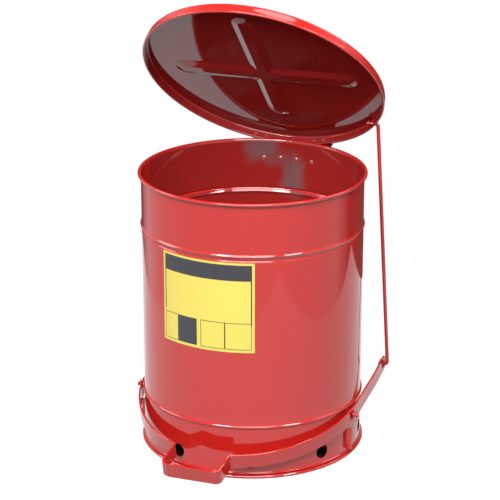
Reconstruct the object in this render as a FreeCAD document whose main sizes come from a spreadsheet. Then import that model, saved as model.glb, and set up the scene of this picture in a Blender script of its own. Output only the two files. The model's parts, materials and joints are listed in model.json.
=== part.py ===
import FreeCAD, Part
import math
import os
import re
import Sketcher

# Oily-waste can of the ten-gallon size: a round steel can on a ventilated
# base ring, a hinged self-closing lid, and a foot lever that lifts the lid
# through one rod on the right-hand side.
# Frame: origin on the can's axis at floor level, +Z up, the pedal at the
# front (-Y), the hinge at the back (+Y).  Lengths in mm, angles in degrees.
# The stored attitude is the lid open and the pedal down.

doc = FreeCAD.newDocument("OilyWasteCan")
sizes = doc.addObject("Spreadsheet::Sheet", "Sizes")

DIMENSIONS = [
    # can body
    ("wall_radius", 177), ("wall_gauge", 1), ("body_height", 453.5), ("curl_tube", 2.7),
    ("bead_drop", 85.5), ("bead_rise", 2), ("bead_half", 2.8),
    ("groove_drop", 6.5), ("groove_depth", 1), ("groove_half", 2.6),
    ("seam_height", 84), ("seam_rise", 2.5), ("seam_bead", 5.2),
    ("lap_width", 6), ("lap_gauge", 0.85), ("lap_margin", 2), ("seat_gap", 0.1),
    # raised bottom and base ring
    ("floor_height", 88.4), ("floor_gauge", 1.2), ("floor_flange", 7),
    ("floor_play", 0.25), ("dish_depth", 4), ("dish_margin", 30), ("dish_slope", 5),
    ("ring_gauge", 1.2), ("foot_roll", 5.6), ("foot_bead", 8.2), ("foot_rise", 2.3),
    ("foot_half", 2.4), ("vent_radius", 11.25), ("vent_height", 27.8),
    ("vent_angle", 58.5), ("vent_count", 9),
    # lid
    ("lid_overhang", 18.2), ("lid_gauge", 1.2), ("lid_forward", 6.3),
    ("lid_depth", 17), ("lid_round", 4), ("hem_rise", 1.6), ("hem_height", 3.8),
    ("hem_fold", 0.7), ("lid_gap", 0.3), ("rib_reach", 150), ("rib_rear", 124),
    ("rib_width", 36), ("rib_drop", 4.5), ("lid_open_angle", 45.5),
    # lid hinge
    ("hinge_setback", 17.5), ("hinge_drop", 3.5), ("hinge_width", 136),
    ("knuckle_radius", 4.5), ("pin_radius", 3), ("pin_play", 0.05),
    ("pin_overhang", 2.5), ("pin_head", 2), ("pin_head_rise", 0.9), ("pin_head_gap", 0.3),
    ("knuckle_gap", 0.5), ("centre_knuckle", 26), ("lid_knuckle", 28),
    ("leaf_gauge", 1.6), ("leaf_width", 132), ("leaf_drop", 6.5), ("leaf_rise", 3),
    ("leaf_front", 5.4), ("leaf_play", 0.4),
    ("bracket_width", 112), ("bracket_height", 28), ("shelf_drop", 16), ("tab_back", 2.5),
    # foot lever
    ("pivot_forward", 29), ("pivot_height", 70), ("lever_tilt", 11.5),
    ("strip_width", 24), ("strip_gauge", 3), ("hoop_gap", 4.5), ("hoop_reach", 21),
    ("bend_inset", 7), ("arm_gap", 8.3), ("arm_jog", 80), ("jog_bend", 40),
    ("arm_length", 155.7), ("arm_drop_angle", 0.5), ("arm_tip", 12), ("left_tail", 14),
    ("pedal_left", 61), ("pedal_right", 31), ("pedal_reach", 64), ("mouth_flare", 8),
    ("mouth_bend", 4.5), ("toe_side_bend", 6), ("toe_end_bend", 5),
    ("toe_right_bend", 7), ("toe_lean", 2), ("toe_rise", 4), ("toe_run", 8),
    ("toe_draw", 1), ("slot_radius", 4.8), ("slot_outer", -0.5), ("slot_inner", 8.3),
    # pivots
    ("pivot_radius", 3.2), ("pivot_play", 0.08), ("bore_play", 0.15),
    ("washer_play", 0.1), ("washer_radius", 7), ("washer_gauge", 1.2),
    ("washer_out", 6.9), ("spacer_out", 0.4), ("spacer_gauge", 0.9),
    ("shank_in", 6.5), ("shank_length", 21), ("head_in", 7.7), ("head_radius", 6),
    ("head_gauge", 2.2), ("cotter_out", 10.4),
    ("plate_low", 12), ("plate_high", 82), ("plate_front", 36), ("plate_back", 8),
    ("ear_height", 48), ("ear_gauge", 1.8), ("ear_in", 7), ("ear_out", 5.5),
    # lift rod
    ("rod_radius", 3), ("rod_bend", 4.6), ("rod_out", 17.2), ("rod_end_out", 1.5),
    ("hook_back", 108), ("hook_drop", 7.5), ("hook_play", 0.08),
    ("hook_out", 8.26), ("hook_end_in", 10.34),
    ("arm_ring_gap", 0.6), ("arm_ring_radius", 8.5), ("end_ring_gap", 0.32),
    ("end_ring_radius", 6), ("end_ring_gauge", 0.9), ("hook_ring_out", 1.15),
    ("hook_ring_radius", 5), ("hook_ring_gauge", 1),
    # split pins
    ("cotter_radius", 1.05), ("cotter_play", 0.1), ("cotter_eye", 2.7),
    ("cotter_reach", 8.6), ("hook_reach", 5.2), ("hook_eye", 2.2), ("eye_lift", 1.4),
    ("prong_length", 2.6), ("prong_lean", 0.42), ("arm_cotter_out", 4),
    ("hook_cotter_in", 8.34),
    # spot welds
    ("weld_radius", 4), ("weld_rise", 0.8), ("weld_sink", 0.9), ("weld_drop", 12),
    ("weld_step", 1), ("weld_angle", 4.55), ("weld_end_angle", 13.7),
    ("plate_weld_radius", 3), ("plate_weld_low", 18), ("plate_weld_high", 31),
    ("plate_weld_angle", 5.5), ("thin_weld", 0.7),
    ("tick_radius", 2.4), ("tick_drop", 4.5), ("tick_angle", 12.4), ("tick_end_angle", 17.9),
]

# Places that follow from the main sizes, so that one size moves all it carries.
DERIVED = {
    "upper_bead": "$body_height - $bead_drop",
    "lid_radius": "$wall_radius + $lid_overhang",
    "hinge_back": "$wall_radius + $hinge_setback",
    "hinge_height": "$body_height - $hinge_drop",
    "shelf_top": "$hinge_height - $shelf_drop",
    "hoop_side": "$wall_radius + $hoop_gap",
    "hoop_front": "$wall_radius + $hoop_reach",
    "front_bend": "$wall_radius - $bend_inset",
    "arm_side": "$wall_radius + $arm_gap",
    "pedal_front": "$wall_radius + $pedal_reach",
    "seat_radius": "$wall_radius + $seat_gap",
    "lid_seat": "$lid_radius + $seat_gap",
    "hook_height": "$body_height - $hook_drop",
    "hook_skirt": "sqrt($lid_radius ^ 2 - ($hook_back + $lid_forward) ^ 2)",
    "cotter_side": "$wall_radius + $cotter_out",
    "arm_cotter_side": "$wall_radius + $arm_cotter_out",
    "hook_cotter_side": "$hook_skirt - $hook_cotter_in",
    "near": "$wall_radius * 0.5",
    "far": "$wall_radius * 1.2",
}

for row, (alias, number) in enumerate(DIMENSIONS, start=1):
    sizes.set("A%d" % row, alias)
    sizes.set("B%d" % row, str(number))
    sizes.setAlias("B%d" % row, alias)
doc.recompute()

X = FreeCAD.Vector(1, 0, 0)
Y = FreeCAD.Vector(0, 1, 0)
Z = FreeCAD.Vector(0, 0, 1)


def named(text):
    """Names in a rule become references to the sheet, or the rule they stand for."""
    def swap(match):
        name = match.group(1)
        return "(%s)" % named(DERIVED[name]) if name in DERIVED else "Sizes." + name
    return re.sub(r"\$(\w+)", swap, text)


def value(text):
    return float(sizes.evalExpression(named(str(text))))


def bind(item, **rules):
    for path, rule in rules.items():
        item.setExpression(path.replace("__", "."), named(str(rule)))
    return item


def place(item, x=0, y=0, z=0, turn=None, axis=X):
    if turn is not None:
        item.Placement = FreeCAD.Placement(FreeCAD.Vector(), FreeCAD.Rotation(axis, 1))
        bind(item, Placement__Rotation__Angle=turn)
    return bind(item, Placement__Base__x=x, Placement__Base__y=y, Placement__Base__z=z)


def cylinder(name, radius, height, x=0, y=0, z=0, turn=None, axis=X):
    item = doc.addObject("Part::Cylinder", name)
    bind(item, Radius=radius, Height=height)
    return place(item, x, y, z, turn, axis)


def bar(name, radius, low, high, y=0, z=0):
    """A round bar lying along X, from low to high."""
    return cylinder(name, radius, "(%s) - (%s)" % (high, low), x=low, y=y, z=z,
                    turn="90", axis=Y)


def block(name, low, high):
    item = doc.addObject("Part::Box", name)
    spans = ["(%s) - (%s)" % (h, b) for b, h in zip(low, high)]
    bind(item, Length=spans[0], Width=spans[1], Height=spans[2])
    return place(item, *low)


def cut(name, base, tool):
    item = doc.addObject("Part::Cut", name)
    item.Base = base
    item.Tool = tool
    return item


def fuse(name, *shapes):
    item = doc.addObject("Part::MultiFuse", name)
    item.Shapes = list(shapes)
    return item


def common(name, *shapes):
    item = doc.addObject("Part::MultiCommon", name)
    item.Shapes = list(shapes)
    return item


def plane(body, role):
    return [f for f in body.Origin.OriginFeatures if f.Role == role][0]


def outline(body, name, role, corners):
    """A closed sketch of straight lines, every corner driven by the sheet."""
    sketch = body.newObject("Sketcher::SketchObject", name)
    sketch.AttachmentSupport = [(plane(body, role), "")]
    sketch.MapMode = "FlatFace"
    spots = [FreeCAD.Vector(value(u), value(v), 0) for u, v in corners]
    count = len(spots)
    for n in range(count):
        sketch.addGeometry(Part.LineSegment(spots[n], spots[(n + 1) % count]), False)
    for n in range(count):
        sketch.addConstraint(Sketcher.Constraint("Coincident", n, 2, (n + 1) % count, 1))
    for n, corner in enumerate(corners):
        for kind, rule in zip(("DistanceX", "DistanceY"), corner):
            spot = sketch.addConstraint(Sketcher.Constraint(kind, -1, 1, n, 1, value(rule)))
            sketch.setExpression("Constraints[%d]" % spot, named(str(rule)))
    return sketch


def revolve(body, name, sketch):
    item = body.newObject("PartDesign::Revolution", name)
    item.Profile = sketch
    item.ReferenceAxis = (sketch, ["V_Axis"])
    item.Angle = 360
    return item


parts = {}


def keep(node, item):
    item.Label = node
    parts[node] = item
    return item


# ---------------------------------------------------------------- can shell
# A rolled steel wall, its mouth curled outward, one swaged bead below the
# mouth with a groove under it, and the bead of the seam at the foot.

def build_can_shell():
    body = doc.addObject("PartDesign::Body", "CanWall")
    out = "$wall_radius"
    inner = "$wall_radius - $wall_gauge"
    seam = "$seam_height"
    bead = "$upper_bead"
    dip = "$upper_bead - $groove_drop"
    neck = "$body_height - $curl_tube"
    section = outline(body, "WallSection", "XZ_Plane", [
        (inner, seam), (out + " + $seam_rise * 0.56", seam),
        (out + " + $seam_rise", seam + " + $seam_bead * 0.23"),
        (out + " + $seam_rise", seam + " + $seam_bead * 0.65"),
        (out, seam + " + $seam_bead"), (out, dip + " - $groove_half"),
        (out + " - $groove_depth", dip + " - $groove_half * 0.4"),
        (out + " - $groove_depth", dip + " + $groove_half * 0.4"),
        (out, dip + " + $groove_half"), (out, bead + " - $bead_half"),
        (out + " + $bead_rise * 0.8", bead + " - $bead_half * 0.5"),
        (out + " + $bead_rise", bead),
        (out + " + $bead_rise * 0.8", bead + " + $bead_half * 0.5"),
        (out, bead + " + $bead_half"), (out, neck + " - $curl_tube * 0.7"),
        (out + " + $curl_tube * 0.5", neck + " - $curl_tube"),
        (out + " + $curl_tube * 1.3", neck + " - $curl_tube"),
        (out + " + $curl_tube * 1.85", neck + " - $curl_tube * 0.4"),
        (out + " + $curl_tube * 1.85", neck + " + $curl_tube * 0.4"),
        (out + " + $curl_tube * 1.3", neck + " + $curl_tube"),
        (out + " + $curl_tube * 0.4", neck + " + $curl_tube"),
        (inner, neck + " + $curl_tube * 0.5"),
        (inner, bead + " + $bead_half * 0.8"),
        (inner + " + $bead_rise * 0.8", bead + " + $bead_half * 0.3"),
        (inner + " + $bead_rise * 0.8", bead + " - $bead_half * 0.3"),
        (inner, bead + " - $bead_half * 0.8"), (inner, dip + " + $groove_half * 1.15"),
        (inner + " - $groove_depth", dip + " + $groove_half * 0.5"),
        (inner + " - $groove_depth", dip + " - $groove_half * 0.5"),
        (inner, dip + " - $groove_half * 1.15"),
    ])
    revolve(body, "Wall", section)
    keep("can_shell", body)


def build_side_seam():
    # The lap of the rolled wall, running down the inside of the back.
    face = "$wall_radius - $wall_gauge - $seat_gap / 2"
    ring = cut("SeamRing", cylinder("SeamOuter", face, "$body_height"),
               cylinder("SeamInner", face + " - $lap_gauge", "$body_height"))
    left = "-$lap_width / 2"
    right = "$lap_width / 2"
    low = block("SeamLow", (left, "$near", "$floor_height + $floor_flange + $lap_margin"),
                (right, "$far", "$upper_bead - $groove_drop - $groove_half - $lap_margin"))
    high = block("SeamHigh", (left, "$near", "$upper_bead + $bead_half + $lap_margin"),
                 (right, "$far", "$body_height - $curl_tube * 2.6"))
    keep("side_seam", common("SideSeam", ring, fuse("SeamSpans", low, high)))


# ---------------------------------------------------- raised bottom and ring
# The bottom is a shallow pan held above the floor; the ring under it is
# pierced with round vents and ends in a rolled foot.

def build_can_bottom():
    body = doc.addObject("PartDesign::Body", "CanBottom")
    rim = "$wall_radius - $wall_gauge - $floor_play"
    dish = "$floor_height - $dish_depth"
    flat = "$wall_radius - $dish_margin"
    pan = outline(body, "PanSection", "XZ_Plane", [
        ("0", dish), (flat, dish), (flat + " + $dish_slope", "$floor_height"),
        (rim, "$floor_height"), (rim, "$floor_height + $floor_flange"),
        (rim + " - $floor_gauge", "$floor_height + $floor_flange"),
        (rim + " - $floor_gauge", "$floor_height + $floor_gauge"),
        (flat + " + $dish_slope - $floor_gauge / 2", "$floor_height + $floor_gauge"),
        (flat + " - $floor_gauge / 2", dish + " + $floor_gauge"),
        ("0", dish + " + $floor_gauge"),
    ])
    revolve(body, "Pan", pan)
    keep("can_bottom", body)


def build_base_ring():
    body = doc.addObject("PartDesign::Body", "BaseRing")
    out = "$wall_radius"
    inner = "$wall_radius - $ring_gauge"
    section = outline(body, "RingSection", "XZ_Plane", [
        (inner, "$foot_roll * 0.5"), (inner + " + $foot_roll * 0.11", "$foot_roll * 0.15"),
        (inner + " + $foot_roll * 0.4", "0"), (inner + " + $foot_roll * 0.71", "0"),
        (inner + " + $foot_roll * 0.93", "$foot_roll * 0.16"),
        (inner + " + $foot_roll", "$foot_roll * 0.36"),
        (inner + " + $foot_roll", "$foot_roll * 0.66"),
        (inner + " + $foot_roll * 0.82", "$foot_roll * 0.9"),
        (out + " + $foot_rise * 0.35", "$foot_roll"),
        (out + " + $foot_rise * 0.8", "$foot_bead - $foot_half * 0.5"),
        (out + " + $foot_rise", "$foot_bead"),
        (out + " + $foot_rise * 0.8", "$foot_bead + $foot_half * 0.5"),
        (out, "$foot_bead + $foot_half"),
        (out, "$seam_height - $seat_gap"), (inner, "$seam_height - $seat_gap"),
    ])
    revolve(body, "Ring", section)
    doc.recompute()
    vent = body.newObject("PartDesign::SubtractiveCylinder", "Vent")
    bind(vent, Radius="$vent_radius", Height="$wall_radius * 0.2")
    vent.AttachmentSupport = [(plane(body, "XZ_Plane"), "")]
    vent.MapMode = "FlatFace"
    bind(vent, AttachmentOffset__Base__y="$vent_height",
         AttachmentOffset__Base__z="$wall_radius * 0.9")
    doc.recompute()
    row = body.newObject("PartDesign::PolarPattern", "VentRow")
    row.Originals = [vent]
    row.Axis = ([f for f in body.Origin.OriginFeatures if f.Role == "Z_Axis"][0], [""])
    row.Angle = 360
    bind(row, Occurrences="$vent_count")
    body.Tip = row
    place(body, turn="$vent_angle", axis=Z)
    holes = bar("RingPivotBore", "$pivot_radius + $bore_play", "-$far", "$far",
                "-$pivot_forward", "$pivot_height")
    keep("base_ring", cut("DrilledRing", body, holes))


# ------------------------------------------------------------- lid hinge, can
# A bracket spot-welded to the back wall steps out under the rim and carries
# three knuckles; the lid's leaf carries the two between them.

def knuckle_spans():
    half = "$centre_knuckle / 2"
    inner = "$centre_knuckle / 2 + $knuckle_gap + $lid_knuckle + $knuckle_gap"
    return [("-$hinge_width / 2", "-(%s)" % inner), ("-" + half, half),
            (inner, "$hinge_width / 2")]


def lid_knuckle_spans():
    start = "$centre_knuckle / 2 + $knuckle_gap"
    return [("-(%s) - $lid_knuckle" % start, "-(%s)" % start),
            (start, start + " + $lid_knuckle")]


def build_hinge_bracket():
    leg_low = "$shelf_top - $bracket_height"
    ring = cut("BracketRing",
               cylinder("BracketOuter", "$seat_radius + $leaf_gauge", "$bracket_height", z=leg_low),
               cylinder("BracketInner", "$seat_radius", "$bracket_height", z=leg_low))
    window = block("BracketWindow", ("-$bracket_width / 2", "$near", leg_low),
                   ("$bracket_width / 2", "$far", "$shelf_top"))
    back = "$hinge_back + $tab_back"
    pieces = [common("BracketLeg", ring, window)]
    shelf = block("BracketShelf", ("-$hinge_width / 2", "$wall_radius * 0.8",
                                   "$shelf_top - $leaf_gauge"),
                  ("$hinge_width / 2", back, "$shelf_top"))
    hollow = cylinder("ShelfHollow", "$seat_radius", "$leaf_gauge * 4",
                      z="$shelf_top - $leaf_gauge * 2")
    pieces.append(cut("BracketStep", shelf, hollow))
    for n, (low, high) in enumerate(knuckle_spans()):
        pieces.append(block("BracketTab%d" % n,
                            (low, back + " - $leaf_gauge", "$shelf_top - $leaf_gauge"),
                            (high, back, "$hinge_height")))
        pieces.append(bar("CanKnuckle%d" % n, "$knuckle_radius", low, high,
                          "$hinge_back", "$hinge_height"))
    bore = bar("CanKnuckleBore", "$pin_radius + $pin_play", "-$hinge_width", "$hinge_width",
               "$hinge_back", "$hinge_height")
    keep("hinge_bracket", cut("HingeBracket", fuse("BracketSolid", *pieces), bore))


def build_hinge_pin():
    half = "$hinge_width / 2"
    tip = half + " + $pin_overhang"
    head = half + " + $pin_head_gap"
    shank = bar("PinShank", "$pin_radius", "-(%s)" % tip, tip, "$hinge_back", "$hinge_height")
    ends = [bar("PinEnd%d" % n, "$pin_radius + $pin_head_rise", low, high,
                "$hinge_back", "$hinge_height")
            for n, (low, high) in enumerate((("-(%s) - $pin_head" % head, "-(%s)" % head),
                                             (head, head + " + $pin_head")))]
    keep("hinge_pin", fuse("HingePin", shank, *ends))


def radial_discs(node, spots, radius, start, depth, offset_y=0):
    """Small round weld marks lying flat against a cylindrical wall."""
    discs = []
    for n, (angle, height) in enumerate(spots):
        disc = doc.addObject("Part::Cylinder", "%s_%d" % (node, n))
        bind(disc, Radius=radius, Height=depth)
        turn = FreeCAD.Rotation(Z, value(angle)).multiply(FreeCAD.Rotation(Y, 90))
        disc.Placement = FreeCAD.Placement(FreeCAD.Vector(), turn)
        place(disc, "(%s) * cos((%s) * 1 deg)" % (start, angle),
              "(%s) * sin((%s) * 1 deg) + (%s)" % (start, angle, offset_y), height)
        discs.append(disc)
    return fuse(node + "_set", *discs)


# ------------------------------------------------------------- lever pivots
# Each side of the base ring carries a welded angle plate and a fixed pin
# with its head inside the ring; a washer and a split pin hold the lever on.

def build_pivot_bracket(node, side):
    tag = node.title().replace("_", "")

    def span(start, end):
        return (start, end) if side > 0 else ("-(%s)" % end, "-(%s)" % start)

    height = "$plate_high - $plate_low"
    ring = cut(tag + "Ring",
               cylinder(tag + "Outer", "$seat_radius + $leaf_gauge", height, z="$plate_low"),
               cylinder(tag + "Inner", "$seat_radius", height, z="$plate_low"))
    low, high = span("$near", "$far")
    window = block(tag + "Window", (low, "-$plate_front", "$plate_low"),
                   (high, "-$plate_back", "$plate_high"))
    plate = common(tag + "Plate", ring, window)
    low, high = span("$wall_radius - $ear_in", "$wall_radius + $ear_out")
    flange = cut(tag + "Flange",
                 block(tag + "Ear", (low, "-$plate_front", "$plate_low"),
                       (high, "-$plate_front + $ear_gauge", "$ear_height")),
                 cylinder(tag + "EarHollow", "$seat_radius", "$plate_high"))
    bore = bar(tag + "Bore", "$pivot_radius + $bore_play", "-$far", "$far",
               "-$pivot_forward", "$pivot_height")
    keep(node, cut(tag + "Bored", fuse(tag + "Angle", plate, flange), bore))


def pivot_rings(node, outer, bore, start, length):
    """One turned ring on each pivot axis, mirrored left to right."""
    rings = []
    end = "(%s) + (%s)" % (start, length)
    for side, low, high in (("Right", start, end), ("Left", "-(%s)" % end, "-(%s)" % start)):
        ring = bar(node + side, outer, low, high, "-$pivot_forward", "$pivot_height")
        if bore:
            hole = bar(node + side + "Bore", bore, "(%s) - $washer_gauge" % low,
                       "(%s) + $washer_gauge" % high, "-$pivot_forward", "$pivot_height")
            ring = cut(node + side + "Ring", ring, hole)
        rings.append(ring)
    return rings


def build_pivots():
    shanks = pivot_rings("PivotShank", "$pivot_radius", None,
                         "$wall_radius - $shank_in", "$shank_length")
    heads = pivot_rings("PivotHead", "$head_radius", None,
                        "$wall_radius - $head_in", "$head_gauge")
    holes = [cylinder("PivotCross%d" % n, "$cotter_radius + $cotter_play", "$pivot_radius * 6",
                      x=x, y="-$pivot_forward", z="$pivot_height - $pivot_radius * 3")
             for n, x in enumerate(("$cotter_side", "-$cotter_side"))]
    pins = fuse("PivotPins", *(shanks + heads))
    bore = "$pivot_radius + $washer_play"
    keep("pivot_pins", cut("DrilledPins", pins, fuse("PivotCross", *holes)))
    keep("pivot_spacers", fuse("PivotSpacers", *pivot_rings(
        "PivotSpacer", "$washer_radius", bore, "$wall_radius + $spacer_out", "$spacer_gauge")))
    keep("pivot_washers", fuse("PivotWashers", *pivot_rings(
        "PivotWasher", "$washer_radius", bore, "$wall_radius + $washer_out", "$washer_gauge")))


def cotter(spot, reach, eye):
    """A split pin standing on Z through a bar that lies along X: its flat eye
    below, one leg through the hole, two bent prongs above.
    reach is how far the prongs stand above the crossed bar's axis."""
    wire = value("$cotter_radius")
    prong = value("$prong_length")
    lift = value("$eye_lift")
    lean = value("$prong_lean")
    foot = spot - Z * (reach - lift)
    leg = Part.makeCylinder(wire, 2 * reach - lift - prong * 0.8, foot, Z)
    centre = foot - Z * (eye - wire * 0.57) - X * (wire * 0.75)
    ring = Part.makeCylinder(eye, wire * 1.5, centre, X)
    hole = Part.makeCylinder(eye - wire, wire * 1.5, centre, X)
    prongs = [Part.makeCylinder(wire * 0.6, prong, spot + Z * (reach - prong),
                                (Z + Y * side).normalize()) for side in (lean, -lean)]
    return leg.fuse([ring.cut(hole)] + prongs)


def build_pivot_cotters():
    item = doc.addObject("Part::Feature", "PivotCotters")
    side = value("$cotter_side")
    spots = [FreeCAD.Vector(x, -value("$pivot_forward"), value("$pivot_height"))
             for x in (side, -side)]
    reach = value("$cotter_reach")
    eye = value("$cotter_eye")
    item.Shape = Part.makeCompound([cotter(spot, reach, eye) for spot in spots])
    keep("pivot_cotters", item)


# ---------------------------------------------------------------------- lid
# A shallow pressed pan with a hemmed skirt.  Its crown carries a cross
# pressed downward, and the skirt a hole for the rod's hook.
# The lid's own frame is the hinge axis with the lid closed.

LID_Y = "-($hinge_back + $lid_forward)"
LID_TOP = "$body_height + $lid_gap + $lid_gauge - $hinge_height"


def hang_on_hinge(item):
    item.Placement = FreeCAD.Placement(FreeCAD.Vector(), FreeCAD.Rotation(X, -1))
    bind(item, Placement__Base__y="$hinge_back", Placement__Base__z="$hinge_height",
         Placement__Rotation__Angle="-$lid_open_angle")
    item.Placement = FreeCAD.Placement(
        FreeCAD.Vector(0, value("$hinge_back"), value("$hinge_height")),
        FreeCAD.Rotation(X, -value("$lid_open_angle")))
    return item


def cross_tool(name, inset, top, depth):
    """The pressed cross: two crossing round-ended bars with sloping sides."""
    reach = value("$rib_reach") - inset
    rear = value("$rib_rear") - inset
    half = value("$rib_width") / 2 - inset
    slope = depth
    bars = []
    for turn, far, near in ((0, reach, reach), (90, rear, reach)):
        wires = []
        for level, shrink in ((0, 0), (-depth, slope)):
            h = half - shrink
            a = far - half
            b = near - half
            pts = [FreeCAD.Vector(-b, h, level), FreeCAD.Vector(a, h, level),
                   FreeCAD.Vector(a, -h, level), FreeCAD.Vector(-b, -h, level)]
            edges = [Part.makeLine(pts[0], pts[1]),
                     Part.Arc(pts[1], FreeCAD.Vector(a + h, 0, level), pts[2]).toShape(),
                     Part.makeLine(pts[2], pts[3]),
                     Part.Arc(pts[3], FreeCAD.Vector(-b - h, 0, level), pts[0]).toShape()]
            wires.append(Part.Wire(edges))
        bar = Part.makeLoft(wires, True, True)
        bar.rotate(FreeCAD.Vector(), Z, turn)
        bars.append(bar)
    solid = bars[0].fuse(bars[1])
    solid.translate(FreeCAD.Vector(0, value(LID_Y), top))
    item = doc.addObject("Part::Feature", name)
    item.Shape = solid
    return item


def build_lid_pan():
    body = doc.addObject("PartDesign::Body", "LidPan")
    skirt = "$lid_radius"
    low = "-$lid_depth"
    lip = "$lid_radius + $hem_rise"
    inner = "$lid_radius - $lid_gauge"
    fold = inner + " - $hem_fold"
    section = outline(body, "LidSection", "XZ_Plane", [
        ("0", "0"), (skirt + " - $lid_round", "0"),
        (skirt + " - $lid_round * 0.3", "-$lid_round * 0.3"), (skirt, "-$lid_round"),
        (skirt, low + " + $hem_height"), (lip, low + " + $hem_height * 0.74"),
        (lip, low + " + $hem_height * 0.24"), (skirt + " + $hem_rise * 0.31", low),
        (skirt + " - $hem_rise * 0.56", low), (fold, low + " + $hem_height * 0.24"),
        (fold, low + " + $hem_height * 0.74"), (inner, low + " + $hem_height"),
        (inner, "-$lid_round"),
        (inner + " - $lid_round * 0.24", "-$lid_round * 0.24 - $lid_gauge"),
        (skirt + " - $lid_round", "-$lid_gauge"), ("0", "-$lid_gauge"),
    ])
    revolve(body, "LidShape", section)
    doc.recompute()
    place(body, y=LID_Y, z=LID_TOP)
    gauge = value("$lid_gauge")
    top = value(LID_TOP)
    drop = value("$rib_drop")
    under = cross_tool("CrossUnder", 0, top - gauge * 0.5, drop + gauge * 0.5)
    pressed = fuse("LidPressed", body, under)
    hollow = cut("LidHollow", pressed, cross_tool("CrossTop", gauge, top + 0.01, drop))
    hook = bar("HookHole", "$rod_radius + $hook_play", "$hook_skirt * 0.8", "$hook_skirt * 1.2",
               "$hook_back - $hinge_back", "$hook_height - $hinge_height")
    keep("lid_pan", hang_on_hinge(cut("LidDrilled", hollow, hook)))


def build_lid_leaf():
    height = "$leaf_drop + $leaf_rise"
    half = "$leaf_width / 2"
    shelf = "$leaf_rise - $leaf_gauge"
    deep = "-$hinge_setback * 2.3"
    ring = cut("LeafRing",
               cylinder("LeafOuter", "$lid_seat + $leaf_gauge", height, y=LID_Y, z="-$leaf_drop"),
               cylinder("LeafInner", "$lid_seat", height, y=LID_Y, z="-$leaf_drop"))
    window = block("LeafWindow", ("-" + half, deep, "-$leaf_drop"), (half, "0", "$leaf_rise"))
    middle = "$centre_knuckle / 2 + $knuckle_gap"
    relief = bar("LeafRelief", "$knuckle_radius + $leaf_play", "-(%s)" % middle, middle)
    pieces = [cut("RelievedLeg", common("LeafLeg", ring, window), relief)]
    hollow = cylinder("LeafHollow", "$lid_seat", "$leaf_drop * 3", y=LID_Y, z="-$leaf_drop * 1.5")
    tops = [block("LeafTop", ("-" + half, deep, shelf), (half, "-$leaf_front", "$leaf_rise"))]
    for n, (low, high) in enumerate(lid_knuckle_spans()):
        tops.append(block("LeafTongue%d" % n, (low, "-$leaf_front * 1.1", shelf),
                          (high, "0", "$leaf_rise")))
        pieces.append(bar("LidKnuckle%d" % n, "$knuckle_radius", low, high))
    pieces.append(cut("LeafShelf", fuse("LeafTops", *tops), hollow))
    bore = bar("LidKnuckleBore", "$pin_radius + $pin_play", "-$hinge_width", "$hinge_width")
    keep("lid_hinge_leaf", hang_on_hinge(cut("LidLeaf", fuse("LeafSolid", *pieces), bore)))


# --------------------------------------------------------------- foot lever
# One steel strip on edge: a tail at the left pivot, a hoop round the front
# with the pedal bent out of it as an open loop, and the lift arm behind the
# right pivot.  Its own frame is the pivot axis with the strip level.

def rounded(spots, radii):
    """Straight runs joined by bends of the given radii, as edges."""
    edges = []
    start = spots[0]
    for n in range(1, len(spots) - 1):
        corner = spots[n]
        back = (spots[n - 1] - corner).normalize()
        ahead = (spots[n + 1] - corner).normalize()
        half = back.getAngle(ahead) / 2
        run = radii[n - 1] / math.tan(half)
        first = corner + back * run
        last = corner + ahead * run
        middle = (back + ahead).normalize()
        centre = corner + middle * (radii[n - 1] / math.sin(half))
        crest = centre - middle * radii[n - 1]
        edges.append(Part.makeLine(start, first))
        edges.append(Part.Arc(first, crest, last).toShape())
        start = last
    edges.append(Part.makeLine(start, spots[-1]))
    return edges


def on_circle(centre, radius, angle):
    return centre + FreeCAD.Vector(radius * math.cos(angle), radius * math.sin(angle), 0)


def sweep_arc(centre, radius, start, end):
    ends = [on_circle(centre, radius, t) for t in (start, (start + end) / 2, end)]
    return Part.Arc(*ends).toShape()


def strip_path():
    """The strip's inner face in plan: an oval of four tangent arcs, opened
    at the front by the pedal loop and run on behind the right pivot."""
    fore = value("$pivot_forward")
    side = value("$hoop_side")
    bow = value("$front_bend")
    over = value("$hoop_front") - bow
    wide = (side ** 2 + over ** 2 - bow ** 2) / (2 * (side - bow))
    front = FreeCAD.Vector(0, fore - over, 0)
    right = FreeCAD.Vector(side - wide, fore, 0)
    left = FreeCAD.Vector(wide - side, fore, 0)
    join = math.atan2(over, wide - side)
    tail = math.pi - math.asin((value("$left_tail") - fore) / wide)
    flare = value("$mouth_flare")
    mouth = [-math.acos(x / bow) for x in
             (-value("$pedal_left") - flare, value("$pedal_right") + flare)]
    edges = [sweep_arc(left, wide, tail, math.pi + join),
             sweep_arc(front, bow, join - math.pi, mouth[0])]
    starts = [on_circle(front, bow, t) for t in mouth]
    leans = [FreeCAD.Vector(-math.sin(mouth[0]), math.cos(mouth[0]), 0),
             FreeCAD.Vector(math.sin(mouth[1]), -math.cos(mouth[1]), 0)]
    turns = [p + v * ((x - p.x) / v.x) for p, v, x in
             zip(starts, leans, (-value("$pedal_left"), value("$pedal_right")))]
    edges += pedal_loop(starts, turns, fore - value("$pedal_front"))
    edges += [sweep_arc(front, bow, mouth[1], -join), sweep_arc(right, wide, -join, 0)]
    arm = value("$arm_side")
    edges += rounded([FreeCAD.Vector(side, fore, 0),
                      FreeCAD.Vector(arm, fore + value("$arm_jog"), 0),
                      FreeCAD.Vector(arm, value("$arm_length + $arm_tip"), 0)],
                     [value("$jog_bend")])
    return Part.Wire(edges)


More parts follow.
